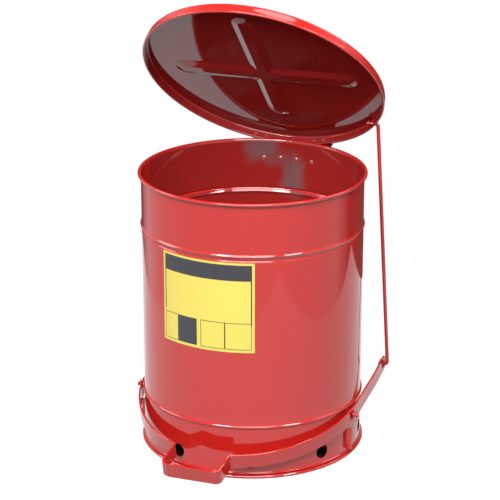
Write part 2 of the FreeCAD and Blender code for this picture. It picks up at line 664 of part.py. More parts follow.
def pedal_loop(starts, turns, toe):
    """The open loop trodden on, bent outward between the hoop's two halves."""
    left = turns[0].x
    spots = [starts[0], turns[0],
             FreeCAD.Vector(left - value("$toe_lean"), toe + value("$toe_rise"), 0),
             FreeCAD.Vector(left + value("$toe_run"), toe, 0),
             FreeCAD.Vector(turns[1].x - value("$toe_draw"), toe, 0), turns[1], starts[1]]
    bends = ("$mouth_bend", "$toe_side_bend", "$toe_end_bend", "$toe_right_bend", "$mouth_bend")
    return rounded(spots, [value(bend) for bend in bends])


def build_foot_lever():
    width = value("$strip_width")
    path = strip_path()
    gauge = value("$strip_gauge")
    face = path.makeOffset2D(gauge, 0, True, True)
    if face.BoundBox.XMax < value("$arm_side") + gauge / 2:
        face = path.makeOffset2D(-gauge, 0, True, True)
    strip = face.extrude(Z * width)
    strip.translate(Z * (-width / 2))
    band = doc.addObject("Part::Feature", "BentStrip")
    band.Shape = round_strip_ends(strip)
    bores = bar("LeverBore", "$pivot_radius + $pivot_play", "-$far", "$far")
    reach = "$arm_length * cos($arm_drop_angle * 1 deg)"
    low, high = "$arm_side * 0.9", "$arm_side * 1.15"
    ends = [bar("SlotEnd%d" % n, "$slot_radius", low, high, "%s - $slot_%s" % (reach, where))
            for n, where in enumerate(("outer", "inner"))]
    middle = block("SlotMiddle", (low, reach + " - $slot_inner", "-$slot_radius"),
                   (high, reach + " - $slot_outer", "$slot_radius"))
    slot = fuse("Slot", middle, *ends)
    lever = cut("FootLever", cut("PivotedStrip", band, bores), slot)
    lever.Placement = FreeCAD.Placement(FreeCAD.Vector(), FreeCAD.Rotation(X, 1))
    bind(lever, Placement__Base__y="-$pivot_forward", Placement__Base__z="$pivot_height",
         Placement__Rotation__Angle="$lever_tilt")
    keep("foot_lever", lever)


def round_strip_ends(strip):
    """The arm's tip and the tail's tip are rounded off."""
    half = value("$strip_width") / 2
    spare = value("$strip_gauge")
    run = value("$wall_radius") / 2
    for tip, start in (("$arm_length + $arm_tip", "$wall_radius * 0.8"),
                       ("$left_tail", "-$wall_radius * 1.3")):
        centre = value(tip) - half
        x = value(start)
        corner = Part.makeBox(run, half + spare, 2 * (half + spare),
                              FreeCAD.Vector(x, centre, -half - spare))
        drum = Part.makeCylinder(half, run, FreeCAD.Vector(x, centre, 0), X)
        strip = strip.cut(corner.cut(drum))
    return strip


# ----------------------------------------------------------------- lift rod
# A round bar with both ends turned inward: the lower through the arm's slot,
# the upper through the lid's skirt.

def hook_open():
    open_angle = math.radians(value("$lid_open_angle"))
    y = value("$hook_back - $hinge_back")
    z = value("$hook_height - $hinge_height")
    return (value("$hinge_back") + y * math.cos(open_angle) + z * math.sin(open_angle),
            value("$hinge_height") - y * math.sin(open_angle) + z * math.cos(open_angle))


def arm_end():
    lean = math.radians(value("$lever_tilt - $arm_drop_angle"))
    reach = value("$arm_length")
    return (-value("$pivot_forward") + reach * math.cos(lean),
            value("$pivot_height") + reach * math.sin(lean))


def build_lift_rod():
    low = arm_end()
    top = hook_open()
    radius = value("$rod_radius")
    spots = [FreeCAD.Vector(value("$wall_radius + $rod_end_out"), *low),
             FreeCAD.Vector(value("$wall_radius + $rod_out"), *low),
             FreeCAD.Vector(value("$hook_skirt + $hook_out"), *top),
             FreeCAD.Vector(value("$hook_skirt - $hook_end_in"), *top)]
    bend = value("$rod_bend")
    path = Part.Wire(rounded(spots, [bend, bend]))
    section = Part.Wire(Part.makeCircle(radius, spots[0], X))
    item = doc.addObject("Part::Feature", "RodBar")
    item.Shape = path.makePipeShell([section], True, False)
    holes = []
    for n, (side, spot) in enumerate((("$arm_cotter_side", low), ("$hook_cotter_side", top))):
        holes.append(cylinder("RodCross%d" % n, "$cotter_radius + $cotter_play",
                              "$rod_radius * 6", x=side, y=str(spot[0]),
                              z="%s - $rod_radius * 3" % spot[1]))
    keep("lift_rod", cut("LiftRod", item, fuse("RodCross", *holes)))


def rod_ring(name, x, spot, gauge, radius):
    item = doc.addObject("Part::Feature", name)
    disc = Part.makeCylinder(radius, gauge, FreeCAD.Vector(x, *spot), X)
    bore = Part.makeCylinder(value("$rod_radius + $washer_play"), gauge * 3,
                             FreeCAD.Vector(x - gauge, *spot), X)
    item.Shape = disc.cut(bore)
    return item


def build_rod_fittings():
    low = arm_end()
    top = hook_open()
    gauge = value("$washer_gauge")
    keep("rod_arm_washers", fuse("RodArmWashers",
         rod_ring("InnerWasher", value("$arm_side - $arm_ring_gap") - gauge, low, gauge,
                  value("$arm_ring_radius")),
         rod_ring("OuterWasher", value("$arm_side + $strip_gauge + $end_ring_gap"), low,
                  value("$end_ring_gauge"), value("$end_ring_radius"))))
    keep("rod_hook_washer", rod_ring("HookWasher", value("$hook_cotter_side + $hook_ring_out"),
                                     top, value("$hook_ring_gauge"), value("$hook_ring_radius")))
    for node, x, spot, reach, eye in (
            ("rod_arm_cotter", "$arm_cotter_side", low, "$cotter_reach", "$cotter_eye"),
            ("rod_hook_cotter", "$hook_cotter_side", top, "$hook_reach", "$hook_eye")):
        item = doc.addObject("Part::Feature", node.title().replace("_", ""))
        item.Shape = cotter(FreeCAD.Vector(value(x), *spot), value(reach), value(eye))
        keep(node, item)


# ------------------------------------------------------------------ assembly

def build_welds():
    wall = "$wall_radius - $wall_gauge - $weld_sink"
    height = "$shelf_top - $weld_drop"
    marks = [("90 - $weld_angle", height), ("90 + $weld_angle", height),
             ("90 - $weld_end_angle", height + " - $weld_step"),
             ("90 + $weld_end_angle", height + " - $weld_step")]
    keep("bracket_welds", radial_discs("BracketWeld", marks, "$weld_radius", wall, "$weld_rise"))
    plate = "$seat_radius + $leaf_gauge + $seat_gap / 2"
    sides = [("-$plate_weld_angle", "$plate_weld_high"), ("-$plate_weld_angle", "$plate_weld_low"),
             ("180 + $plate_weld_angle", "$plate_weld_high"),
             ("180 + $plate_weld_angle", "$plate_weld_low")]
    keep("pivot_bracket_welds",
         radial_discs("PlateWeld", sides, "$plate_weld_radius", plate, "$thin_weld"))
    skirt = "$lid_radius - $lid_gauge - $weld_rise"
    ticks = [("90 - $tick_angle", "-$tick_drop"), ("90 + $tick_angle", "-$tick_drop"),
             ("90 - $tick_end_angle", "-$tick_drop"), ("90 + $tick_end_angle", "-$tick_drop")]
    keep("lid_leaf_welds", hang_on_hinge(
        radial_discs("LeafWeld", ticks, "$tick_radius", skirt, "$thin_weld", LID_Y)))


def check():
    doc.recompute()
    for item in doc.Objects:
        if "Invalid" in item.State or "Error" in item.State:
            raise RuntimeError("failed: %s %s" % (item.Name, item.State))
    for node, item in parts.items():
        if item.Shape.isNull() or not item.Shape.isValid():
            raise RuntimeError("bad shape: " + node)


build_can_shell()
build_side_seam()
build_can_bottom()
build_base_ring()
build_hinge_bracket()
build_hinge_pin()
build_pivot_bracket("pivot_bracket_right", 1)
build_pivot_bracket("pivot_bracket_left", -1)
build_pivots()
build_pivot_cotters()
build_lid_pan()
build_lid_leaf()
build_welds()
build_foot_lever()
build_lift_rod()
build_rod_fittings()
check()

os.makedirs("parts", exist_ok=True)
for node, item in parts.items():
    item.Shape.exportStep(os.path.join("parts", node + ".step"))
    box = item.Shape.BoundBox
    print("%-22s solids %d  vol %9.1f  x %7.1f %7.1f  y %7.1f %7.1f  z %6.1f %6.1f" % (
        node, len(item.Shape.Solids), item.Shape.Volume,
        box.XMin, box.XMax, box.YMin, box.YMax, box.ZMin, box.ZMax))
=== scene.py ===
import json
import math

import bpy
from mathutils import Matrix, Vector, noise


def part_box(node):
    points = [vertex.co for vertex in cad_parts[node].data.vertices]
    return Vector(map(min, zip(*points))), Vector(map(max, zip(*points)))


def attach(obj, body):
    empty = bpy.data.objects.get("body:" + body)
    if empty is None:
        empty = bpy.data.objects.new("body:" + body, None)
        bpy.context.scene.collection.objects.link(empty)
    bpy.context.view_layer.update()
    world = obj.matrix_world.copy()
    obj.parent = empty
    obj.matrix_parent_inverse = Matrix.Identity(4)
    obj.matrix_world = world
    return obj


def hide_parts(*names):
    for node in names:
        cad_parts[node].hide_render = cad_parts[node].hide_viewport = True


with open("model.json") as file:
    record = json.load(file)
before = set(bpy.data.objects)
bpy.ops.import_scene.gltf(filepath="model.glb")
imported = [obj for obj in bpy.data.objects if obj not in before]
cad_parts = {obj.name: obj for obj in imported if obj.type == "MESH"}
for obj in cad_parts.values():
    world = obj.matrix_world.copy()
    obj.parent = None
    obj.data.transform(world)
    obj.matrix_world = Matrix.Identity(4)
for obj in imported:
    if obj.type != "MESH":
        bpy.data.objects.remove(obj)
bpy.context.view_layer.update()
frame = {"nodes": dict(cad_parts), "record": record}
MM = 0.001


# ---- can shell -----------------------------------------------------------------
# The rolled steel wall: mouth curled outward over itself, one swaged bead with
# a groove below it, and the seam's bead at the foot.  Sheet steel under baked
# enamel, greyer where little of it reached round the welds; its inside is drawn
# a darker red than the outside, as painted shade.
RED = "BE221C"
# The darker red below is painted shade: the inside of the can and the lid's underside drawn darker
# than the enamel outside.
RED_INSIDE_SHADE = "962422"
RED_THIN = "76585A"
PEEL = {"peel": 0.003, "peel_mm": 9}
WALL = 177.0
GAUGE = 1.0
RIM = 453.5
CURL = 2.7
FOOT = 84.0
SEAM = 2.6
FLAT_TURN = 38.5
FLAT_HALF = 13.0
SWAGE_OUT = 2.0
SWAGE_OUT_Z = 368
SWAGE_IN = 1.6
SWAGE_IN_Z = 361.8
SWAGE_HALF = 3.4
# The ramp's place for the painted shade inside the can and under the lid.
INSIDE_SHADE_LEVEL = 0.2
BARE_COAT = 0.7
THIN_PATCHES = (
    # share, then low, high and fade across and up the back of the wall
    (1.0, (-54, -38, 30), (432, 440, 26)),
    (0.6, (-30, 2, 22), (419, 423, 20)),
    (1.0, (2, 14, 22), (376, 406, 28)),
)
THIN_RAGS = ((6, 14), (3, 5))


def srgb(text):
    """A colour written as sRGB hex, as the linear values a shader reads."""
    parts = [int(text[n:n + 2], 16) / 255 for n in (0, 2, 4)]
    return [c / 12.92 if c <= 0.04045 else ((c + 0.055) / 1.055) ** 2.4 for c in parts] + [1]


def add(tree, kind, **values):
    """Adds one shader node; values go to its properties or its inputs."""
    item = tree.nodes.new(kind)
    for key, held in values.items():
        if hasattr(item, key):
            setattr(item, key, held)
        else:
            item.inputs[key.replace("_", " ")].default_value = held
    return item


def finish(name, colour, roughness, metallic=0.0, ior=1.5, peel=0.0, peel_mm=3.0):
    """A paint or metal; peel is the depth in mm of its fine waviness."""
    made = bpy.data.materials.new(name)
    made.use_nodes = True
    tree = made.node_tree
    skin = tree.nodes["Principled BSDF"]
    skin.inputs["Base Color"].default_value = srgb(colour)
    skin.inputs["Roughness"].default_value = roughness
    skin.inputs["Metallic"].default_value = metallic
    skin.inputs["IOR"].default_value = ior
    if peel:
        spot = add(tree, "ShaderNodeTexCoord")
        wave = add(tree, "ShaderNodeTexNoise", Scale=1 / (peel_mm * MM), Detail=1.0)
        bump = add(tree, "ShaderNodeBump", Strength=1.0, Distance=peel * MM)
        tree.links.new(spot.outputs["Object"], wave.inputs["Vector"])
        tree.links.new(wave.outputs["Fac"], bump.inputs["Height"])
        tree.links.new(bump.outputs["Normal"], skin.inputs["Normal"])
    return made


def piece(name, shape, material, body, replaces=(), sharp=40):
    """One mesh piece that rides on a body."""
    verts, faces = shape
    mesh = bpy.data.meshes.new(name)
    mesh.from_pydata([tuple(c * MM for c in v) for v in verts], [], faces)
    mesh.validate()
    mesh.materials.append(material)
    item = bpy.data.objects.new(name, mesh)
    bpy.context.scene.collection.objects.link(item)
    mesh.polygons.foreach_set("use_smooth", [True] * len(mesh.polygons))
    mesh.set_sharp_from_angle(angle=math.radians(sharp))
    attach(item, body)
    if replaces:
        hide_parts(*replaces)
    return item


def lathe(profile, steps=256):
    """A closed profile of (radius, height) turned about Z."""
    verts = []
    faces = []
    rows = len(profile)
    for n in range(steps):
        turn = 2 * math.pi * n / steps
        verts += [(r * math.cos(turn), r * math.sin(turn), z) for r, z in profile]
    for n in range(steps):
        for k in range(rows):
            a = n * rows + k
            b = n * rows + (k + 1) % rows
            c = ((n + 1) % steps) * rows + (k + 1) % rows
            d = ((n + 1) % steps) * rows + k
            faces.append((a, d, c, b))
    return verts, faces


def arc(centre, radius, start, end, steps=10):
    """Points of an arc in a plane, angles in degrees."""
    turns = [math.radians(start + (end - start) * n / steps) for n in range(steps + 1)]
    return [(centre[0] + radius * math.cos(t), centre[1] + radius * math.sin(t))
            for t in turns]


def flattened(centre, radius, start, end, steps):
    """A rolled bead's arc, with a flat where it faces FLAT_TURN degrees up."""
    def spot(turn):
        return arc(centre, radius, turn, turn, 1)[0]

    turns = [start + (end - start) * n / steps for n in range(steps + 1)]
    below = [spot(t) for t in turns if t <= FLAT_TURN - FLAT_HALF]
    above = [spot(t) for t in turns if t >= FLAT_TURN + FLAT_HALF]
    edges = [spot(FLAT_TURN - FLAT_HALF), spot(FLAT_TURN + FLAT_HALF)]
    if start > end:
        below, above = above, below
        edges.reverse()
    (x0, z0), (x1, z1) = edges
    flat = [(x0 + (x1 - x0) * t, z0 + (z1 - z0) * t) for t in (0, 0.12, 0.88, 1)]
    return below + flat + above


def hump(z, middle, half):
    """A smooth swelling of height 1 about a height."""
    t = (z - middle) / half
    return (1 + math.cos(math.pi * t)) / 2 if abs(t) < 1 else 0.0


def swage(z):
    """How far the bead stands out, or the groove below it in."""
    return (SWAGE_OUT * hump(z, SWAGE_OUT_Z, SWAGE_HALF)
            - SWAGE_IN * hump(z, SWAGE_IN_Z, SWAGE_HALF))


def plateau(value, low, high, fade):
    """1 between low and high, falling smoothly to 0 over the fade outside them."""
    past = max(low - value, value - high, 0.0) / fade
    return 0.0 if past >= 1 else (1 + math.cos(math.pi * past)) / 2


def thinness_and_inside_shade(x, y, z):
    """The painted shade over the back of the wall's inside, and how thin the enamel lies there
    round the bracket's welds.
    """
    if y < 0 or math.hypot(x, y) > WALL - 0.5:
        return 0.0
    ragged = sum(depth * noise.noise(Vector((x, y, z)) / length) for depth, length in THIN_RAGS)
    x += ragged
    z += ragged
    bare = [share * plateau(x, *across) * plateau(z, *up) for share, across, up in THIN_PATCHES]
    # The back of the inside starts from the painted shade level, then greys where the coat is
    # thin.
    return INSIDE_SHADE_LEVEL + BARE_COAT * max(bare)


def write_coat_and_shade(item, measure=thinness_and_inside_shade):
    """Writes the enamel's painted shade and how thin it is on a piece's points, each in mm."""
    # The value written holds the inside's painted shade as well as how thin the coat lies.
    held = item.data.attributes.new("thin", "FLOAT", "POINT")
    held.data.foreach_set("value", [measure(*(v.co / MM)) for v in item.data.vertices])


def thin_paint_and_inside_shade(colour, inside, bare):
    """The enamel, darker inside the can as painted shade, and greyer where the piece says it is
    thin.
    """
    made = finish("red enamel, scant over welds, painted shade inside", colour, 0.06, ior=1.6, **PEEL)
    tree = made.node_tree
    held = add(tree, "ShaderNodeAttribute", attribute_name="thin")
    coat_and_shade_ramp = add(tree, "ShaderNodeValToRGB")
    stops = coat_and_shade_ramp.color_ramp.elements
    stops[0].color = srgb(colour)
    stops[1].color = srgb(bare)
    # This darker stop is painted shade for the inside of the can and the lid's underside.
    stops.new(INSIDE_SHADE_LEVEL).color = srgb(inside)
    tree.links.new(held.outputs["Fac"], coat_and_shade_ramp.inputs["Fac"])
    tree.links.new(coat_and_shade_ramp.outputs["Color"], tree.nodes["Principled BSDF"].inputs["Base Color"])
    return made


def shell_profile():
    """The wall's closed section, from the foot up outside and down inside."""
    foot = [(WALL - GAUGE, FOOT), (WALL + 0.6, FOOT)]
    seam = flattened((WALL - 0.1, FOOT + SEAM), SEAM, -80, 84, 12)
    low = [(WALL, 90), (WALL, 100), (WALL, 200), (WALL, 300), (WALL, 350)]
    band = [352 + n for n in range(24)]
    rise = [(WALL + swage(z), z) for z in band] + [(WALL, 380), (WALL, 420), (WALL, 446)]
    curl = arc((WALL + 2.3, RIM - CURL), CURL, 205, 508, 32)
    down = [(WALL - GAUGE, RIM - 4)] + [(WALL - GAUGE, z) for z in range(446, 378, -4)]
    inner = [(WALL - GAUGE + swage(z), z) for z in reversed(band)]
    base = [(WALL - GAUGE, z) for z in (350, 300, 200, 100)]
    return foot + seam + low + rise + curl + down + inner + base


# Baked enamel is a wet-looking gloss whose mirrored lights waver a little.  Real
# orange peel is 1 to 3 mm across, too fine to show, so it is drawn at 9 mm.
# The wall's paint carries painted shade: its inside is drawn a darker red.
WALL_PAINT_AND_SHADE = thin_paint_and_inside_shade(RED, RED_INSIDE_SHADE, RED_THIN)
write_coat_and_shade(piece("can_wall", lathe(shell_profile()), WALL_PAINT_AND_SHADE, "can", ["can_shell"]))


# ---- seam and welds -------------------------------------------------------------
# The lap of the rolled wall down the inside of the back, broken where the wall
# is swaged, and beside it the four spot welds that hold the hinge bracket.
LAP_HALF = 3.0
LAP_RISE = 0.85
LAP_EDGE = 0.4
LAP_RUNS = ((97.4, 356.9), (372.8, 446.4))
SPOT_WELDS = ((-4.55, 422), (4.55, 422), (-13.7, 421), (13.7, 421))

# The enamel took thinly over the welds, so they look greyer and pinker, and
# mirror the light less sharply, than the wall does.
WELD = finish("thin enamel over weld metal", "A85454", 0.12, ior=1.6)


def joined(*shapes):
    """Several shapes as one."""
    verts = []
    faces = []
    for more, loops in shapes:
        start = len(verts)
        verts += more
        faces += [tuple(k + start for k in loop) for loop in loops]
    return verts, faces


def weld_dome(angle, z, radius=4.2, rise=1.7, rings=6, sides=24):
    """A spot weld's soft swelling on the inside of the wall."""
    verts = []
    faces = []
    for n in range(rings + 1):
        reach = radius * n / rings
        lift = rise * (1 + math.cos(math.pi * n / rings)) / 2 - 0.05
        for k in range(sides):
            t = 2 * math.pi * k / sides
            turn = math.radians(angle) + reach * math.cos(t) / WALL
            r = WALL - GAUGE - lift
            verts.append((r * math.cos(turn), r * math.sin(turn), z + reach * math.sin(t)))
    for n in range(rings):
        for k in range(sides):
            a = n * sides + k
            b = n * sides + (k + 1) % sides
            faces.append((a, a + sides, b + sides, b))
    return verts, faces


def lap_strip(low, high):
    """The lap of the rolled wall: a flat strip down the inside of the back."""
    face = WALL - GAUGE - 0.05
    shoulder = face - 0.6
    top = face - LAP_RISE
    crest = LAP_HALF - LAP_EDGE
    section = [(-LAP_HALF, face), (-LAP_HALF, shoulder), (-crest, top), (crest, top),
               (LAP_HALF, shoulder), (LAP_HALF, face)]
    count = int((high - low) / 4) + 1
    verts = [(x, y, low + (high - low) * k / count) for k in range(count + 1)
             for x, y in section]
    sides = len(section)
    faces = [(k * sides + n, k * sides + (n + 1) % sides, (k + 1) * sides + (n + 1) % sides,
              (k + 1) * sides + n) for k in range(count) for n in range(sides)]
    faces.append(tuple(reversed(range(sides))))
    faces.append(tuple(range(count * sides, (count + 1) * sides)))
    return verts, faces


# The lap takes the wall's painted shade of the inside.
write_coat_and_shade(piece("lapped_side_seam", joined(*(lap_strip(*run) for run in LAP_RUNS)),
                     WALL_PAINT_AND_SHADE, "can", ["side_seam"], sharp=30))
piece("bracket_weld_domes", joined(*(weld_dome(90 + turn, z) for turn, z in SPOT_WELDS)),
      WELD, "can", ["bracket_welds"])


# ---- base ring ------------------------------------------------------------------
# A plain ring under the raised bottom, pierced with nine round air vents and
# finished with a bead and a rolled foot.  Pressed steel sheet, enamelled.
RING_GAUGE = 1.2
RING_TOP = 83.9
RING_ROLL = 2.75
RING_BEAD = 2.2
RING_BEAD_Z = 8.2
RING_BEAD_HALF = 2.6
VENT = 11.25
VENT_Z = 27.8
VENT_FIRST = -90 + 58.5
VENTS = 9
CELL_HALF = 7.5
CELL_RISE = 15.0
CELL_COLUMNS = 12
PLAIN_COLUMNS = 18

# The same baked enamel as the wall's outside: deep red, mirroring, faintly wavy.
ENAMEL = finish("red baked enamel", RED, 0.06, ior=1.6, **PEEL)


def ring_turns():
    """Angles of the ring's columns: finer cells over the vents."""
    turns = []
    pitch = 360 / VENTS
    for n in range(VENTS):
        middle = VENT_FIRST + n * pitch
        turns += [middle - CELL_HALF + 2 * CELL_HALF * k / CELL_COLUMNS
                  for k in range(CELL_COLUMNS)]
        plain = pitch - 2 * CELL_HALF
        turns += [middle + CELL_HALF + plain * k / PLAIN_COLUMNS
                  for k in range(PLAIN_COLUMNS)]
    return turns


def ring_profile():
    """Closed section and the places in it of the two rows round the vents."""
    low = VENT_Z - CELL_RISE
    high = VENT_Z + CELL_RISE
    rows = [low + (high - low) * k / CELL_COLUMNS for k in range(CELL_COLUMNS + 1)]
    roll = flattened((WALL + 1.8, RING_ROLL), RING_ROLL, 100, -90, 16)[::-1]
    bead = [(WALL + RING_BEAD * hump(z, RING_BEAD_Z, RING_BEAD_HALF), z) for z in
            (5.7, 6.2, 6.8, 7.4, 8.0, 8.6, 9.2, 9.8, 10.4, 10.9)]
    up = [(WALL, z) for z in rows] + [(WALL, 60), (WALL, RING_TOP)]
    down = [(WALL - RING_GAUGE, RING_TOP), (WALL - RING_GAUGE, 60)]
    down += [(WALL - RING_GAUGE, z) for z in reversed(rows)]
    heel = [(WALL - RING_GAUGE, 3.0), (WALL - 0.6, 0.8), (WALL + 0.6, 0.1)]
    profile = roll + bead + up + down + heel
    first = profile.index((WALL, rows[0]))
    back = profile.index((WALL - RING_GAUGE, rows[-1]))
    return profile, first, back


def vented_ring():
    """The ring turned about the can's axis, with a round hole in each cell."""
    profile, first, back = ring_profile()
    turns = ring_turns()
    rows = len(profile)
    verts = []
    for turn in turns:
        t = math.radians(turn)
        verts += [(r * math.cos(t), r * math.sin(t), z) for r, z in profile]
    faces = []
    for n in range(len(turns)):
        in_cell = n % (CELL_COLUMNS + PLAIN_COLUMNS) < CELL_COLUMNS
        for k in range(rows):
            skip = first <= k < first + CELL_COLUMNS or back <= k < back + CELL_COLUMNS
            if in_cell and skip:
                continue
            after = (n + 1) % len(turns)
            faces.append((n * rows + k, after * rows + k,
                          after * rows + (k + 1) % rows, n * rows + (k + 1) % rows))
    for n in range(VENTS):
        start = n * (CELL_COLUMNS + PLAIN_COLUMNS)
        middle = VENT_FIRST + n * 360 / VENTS
        loops = []
        for base, step, radius in ((first, 1, WALL), (back + CELL_COLUMNS, -1, WALL - RING_GAUGE)):
            edge = cell_edge(start, len(turns), rows, base, step)
            loops.append(vent_fan(verts, faces, edge, middle, radius, step < 0))
        close_vent(faces, *loops)
    return verts, faces


def cell_edge(start, count, rows, base, step):
    """Vertex places round one vent's cell, from its low left corner."""
    def at(column, row):
        return ((start + column) % count) * rows + base + step * row
    last = CELL_COLUMNS
    edge = [at(k, 0) for k in range(last)] + [at(last, k) for k in range(last)]
    edge += [at(last - k, last) for k in range(last)] + [at(0, last - k) for k in range(last)]
    return edge


def vent_fan(verts, faces, edge, middle, radius, inside):
    """Rings of faces from a cell's edge in to the vent's round edge."""
    centre = math.radians(middle)
    rings = [edge]
    for share in (0.45, 0.8, 1.0):
        ring = []
        for place in edge:
            x, y, z = verts[place]
            across = radius * ((math.atan2(y, x) - centre + math.pi) % (2 * math.pi) - math.pi)
            rise = z - VENT_Z
            reach = math.hypot(across, rise)
            keep = 1 - share * (1 - VENT / reach)
            turn = centre + across * keep / radius
            ring.append(len(verts))
            verts.append((radius * math.cos(turn), radius * math.sin(turn), VENT_Z + rise * keep))
        rings.append(ring)
    for outer, inner in zip(rings, rings[1:]):
        for k in range(len(edge)):
            j = (k + 1) % len(edge)
            loop = (outer[k], outer[j], inner[j], inner[k])
            faces.append(loop[::-1] if inside else loop)
    return rings[-1]


def close_vent(faces, outer, inner):
    """The vent's cut edge, between the outer and the inner round."""
    for k in range(len(outer)):
        j = (k + 1) % len(outer)
        faces.append((outer[k], outer[j], inner[j], inner[k]))


piece("vented_base_ring", vented_ring(), ENAMEL, "can", ["base_ring"])


# ---- lid ------------------------------------------------------------------------
# A shallow pan with a hemmed skirt and a cross pressed down into the crown to
# stiffen it.  Pressed steel sheet, enamelled; the hook's hole is in the skirt.
HINGE_Y = 194.5
HINGE_Z = 450.0
LID_OPEN = 45.5
LID_R = 195.2
LID_Y = -HINGE_Y - 6.3
LID_TOP = 5.0
LID_GAUGE = 1.2
LID_DEPTH = 17.0
LID_ROUND = 4.14
HEM = 2.14
HEM_TOP = 4.8
HOOK_Y = 108.0
HOOK_Z = 446.0
HOOK_BORE = 3.08
OPEN_LID = (Matrix.Translation((0, HINGE_Y, HINGE_Z))
            @ Matrix.Rotation(math.radians(-LID_OPEN), 4, "X"))
ARM_LEFT = 153.0
ARM_RIGHT = 154.0
ARM_FRONT = 160.0
ARM_REAR = 124.0
ARM_BLEND = 9.0
RIB_DROP = 4.5
RIB_HALF = 20.0
RIB_SLOPE = 13.5
RIB_ROUND = 1.5


def moved(shape, matrix):
    """The shape, set in place by a matrix."""
    verts, faces = shape
    return [tuple(matrix @ Vector(v)) for v in verts], faces


def bar_distance(x, y, near, far):
    """Distance inside a round-ended bar lying along x (positive inside)."""
    along = min(max(x, -near + RIB_HALF), far - RIB_HALF)
    return RIB_HALF - math.hypot(x - along, y)


def pressed(x, y):
    """Depth of the pressed cross at a place on the crown."""
    wide = bar_distance(x, y, ARM_LEFT, ARM_RIGHT)
    deep = bar_distance(y, -x, ARM_FRONT, ARM_REAR)
    near = max(0.0, ARM_BLEND - abs(wide - deep)) / ARM_BLEND
    inside = max(wide, deep) + near * near * ARM_BLEND / 4
    grade = RIB_DROP / (RIB_SLOPE - RIB_ROUND)
    if inside <= 0:
        return 0.0
    if inside < RIB_ROUND:
        return grade * inside ** 2 / (2 * RIB_ROUND)
    if inside < RIB_SLOPE - RIB_ROUND:
        return grade * (inside - RIB_ROUND / 2)
    past = max(RIB_SLOPE - inside, 0.0)
    return RIB_DROP - grade * past ** 2 / (2 * RIB_ROUND)


def lid_shape(steps=480):
    """The pan turned about its middle, its crown pressed in by the cross."""
    crown = [2.0 + 1.86 * n for n in range(102)]
    crown = [r for r in crown if r < LID_R - 5] + [LID_R - LID_ROUND - 0.1]
    shoulder = arc((LID_R - LID_ROUND, -LID_ROUND), LID_ROUND, 89, 0, 8)
    hem = arc((LID_R - 0.6, 2.17 - LID_DEPTH), HEM, 70, -250, 24)
    skirt = [(LID_R, -6), (LID_R, -9), (LID_R, HEM_TOP - LID_DEPTH)]
    rise = [(LID_R - LID_GAUGE, HEM_TOP - LID_DEPTH), (LID_R - LID_GAUGE, -9),
            (LID_R - LID_GAUGE, -6)]
    inner = arc((LID_R - LID_ROUND, -LID_ROUND), LID_ROUND - LID_GAUGE, 0, 89, 8)
    section = ([(r, 0.0) for r in crown] + shoulder + skirt + hem + rise + inner
               + [(r, -LID_GAUGE) for r in reversed(crown)])
    verts = []
    rows = len(section)
    for n in range(steps):
        turn = 2 * math.pi * n / steps
        for r, z in section:
            x = r * math.cos(turn)
            y = r * math.sin(turn)
            drop = pressed(x, y) if r < LID_R - LID_ROUND else 0.0
            verts.append((x, y + LID_Y, LID_TOP + z - drop))
    faces = []
    for n in range(steps):
        after = (n + 1) % steps
        for k in range(rows - 1):
            faces.append((n * rows + k, n * rows + k + 1, after * rows + k + 1, after * rows + k))
    faces.append(tuple(n * rows for n in range(steps)))
    faces.append(tuple(n * rows + rows - 1 for n in reversed(range(steps))))
    return verts, faces


def lid_underside_shade(x, y, z):
    """Painted shade on the lid's underside, below the crown's outer face: the inside's darker red.
    """
    x, y, z = OPEN_LID.inverted() @ Vector((x, y, z))
    y -= LID_Y
    inner = math.hypot(x, y) < LID_R - 1 and z < LID_TOP - 0.5 - pressed(x, y)
    # The underside gets the painted shade level; the top stays the full red.
    return INSIDE_SHADE_LEVEL if inner else 0.0


def bore(item, name, shape):
    """Cuts a hole's shape out of a piece."""
    verts, faces = shape
    mesh = bpy.data.meshes.new(name)
    mesh.from_pydata([tuple(c * MM for c in v) for v in verts], [], faces)
    cutter = bpy.data.objects.new(name, mesh)
    bpy.context.scene.collection.objects.link(cutter)
    made = item.modifiers.new(name, "BOOLEAN")
    made.object = cutter
    made.solver = "EXACT"
    bpy.context.view_layer.update()
    depsgraph = bpy.context.evaluated_depsgraph_get()
    item.data = bpy.data.meshes.new_from_object(item.evaluated_get(depsgraph))
    item.modifiers.clear()
    bpy.data.objects.remove(cutter)
    return item


def rod_hole(low, high, y, z, radius, sides=32, reach=0.0):
    """A bar along X to cut with; reach stretches it into a slot along Y."""
    ring = []
    for k in range(sides):
        t = 2 * math.pi * k / sides
        shift = reach if math.cos(t) > 0 else -reach
        ring.append((y + shift + radius * math.cos(t), z + radius * math.sin(t)))
    verts = [(low, a, b) for a, b in ring] + [(high, a, b) for a, b in ring]
    faces = [(k, (k + 1) % sides, sides + (k + 1) % sides, sides + k) for k in range(sides)]
    faces += [tuple(reversed(range(sides))), tuple(range(sides, 2 * sides))]
    return verts, faces


# The lid wears the wall's paint, its underside drawn in the darker red of painted shade.
lid = piece("lid_with_pressed_cross", moved(lid_shape(), OPEN_LID), WALL_PAINT_AND_SHADE, "lid",
            ["lid_pan"])
write_coat_and_shade(lid, lid_underside_shade)
bore(lid, "hook_hole",
     moved(rod_hole(125, 190, HOOK_Y - HINGE_Y, HOOK_Z - HINGE_Z, HOOK_BORE), OPEN_LID))


# ---- lift rod -------------------------------------------------------------------
# One round bar with both ends turned in: the lower end through the lever's
# arm, the upper through the lid's skirt.  Drawn steel, enamelled.
ROD = 3.0

# The same baked enamel on bar and wire: still shiny, but its mirroring is softer.
HARDWARE = finish("red enamel on hardware", "B2221C", 0.15, ior=1.6)


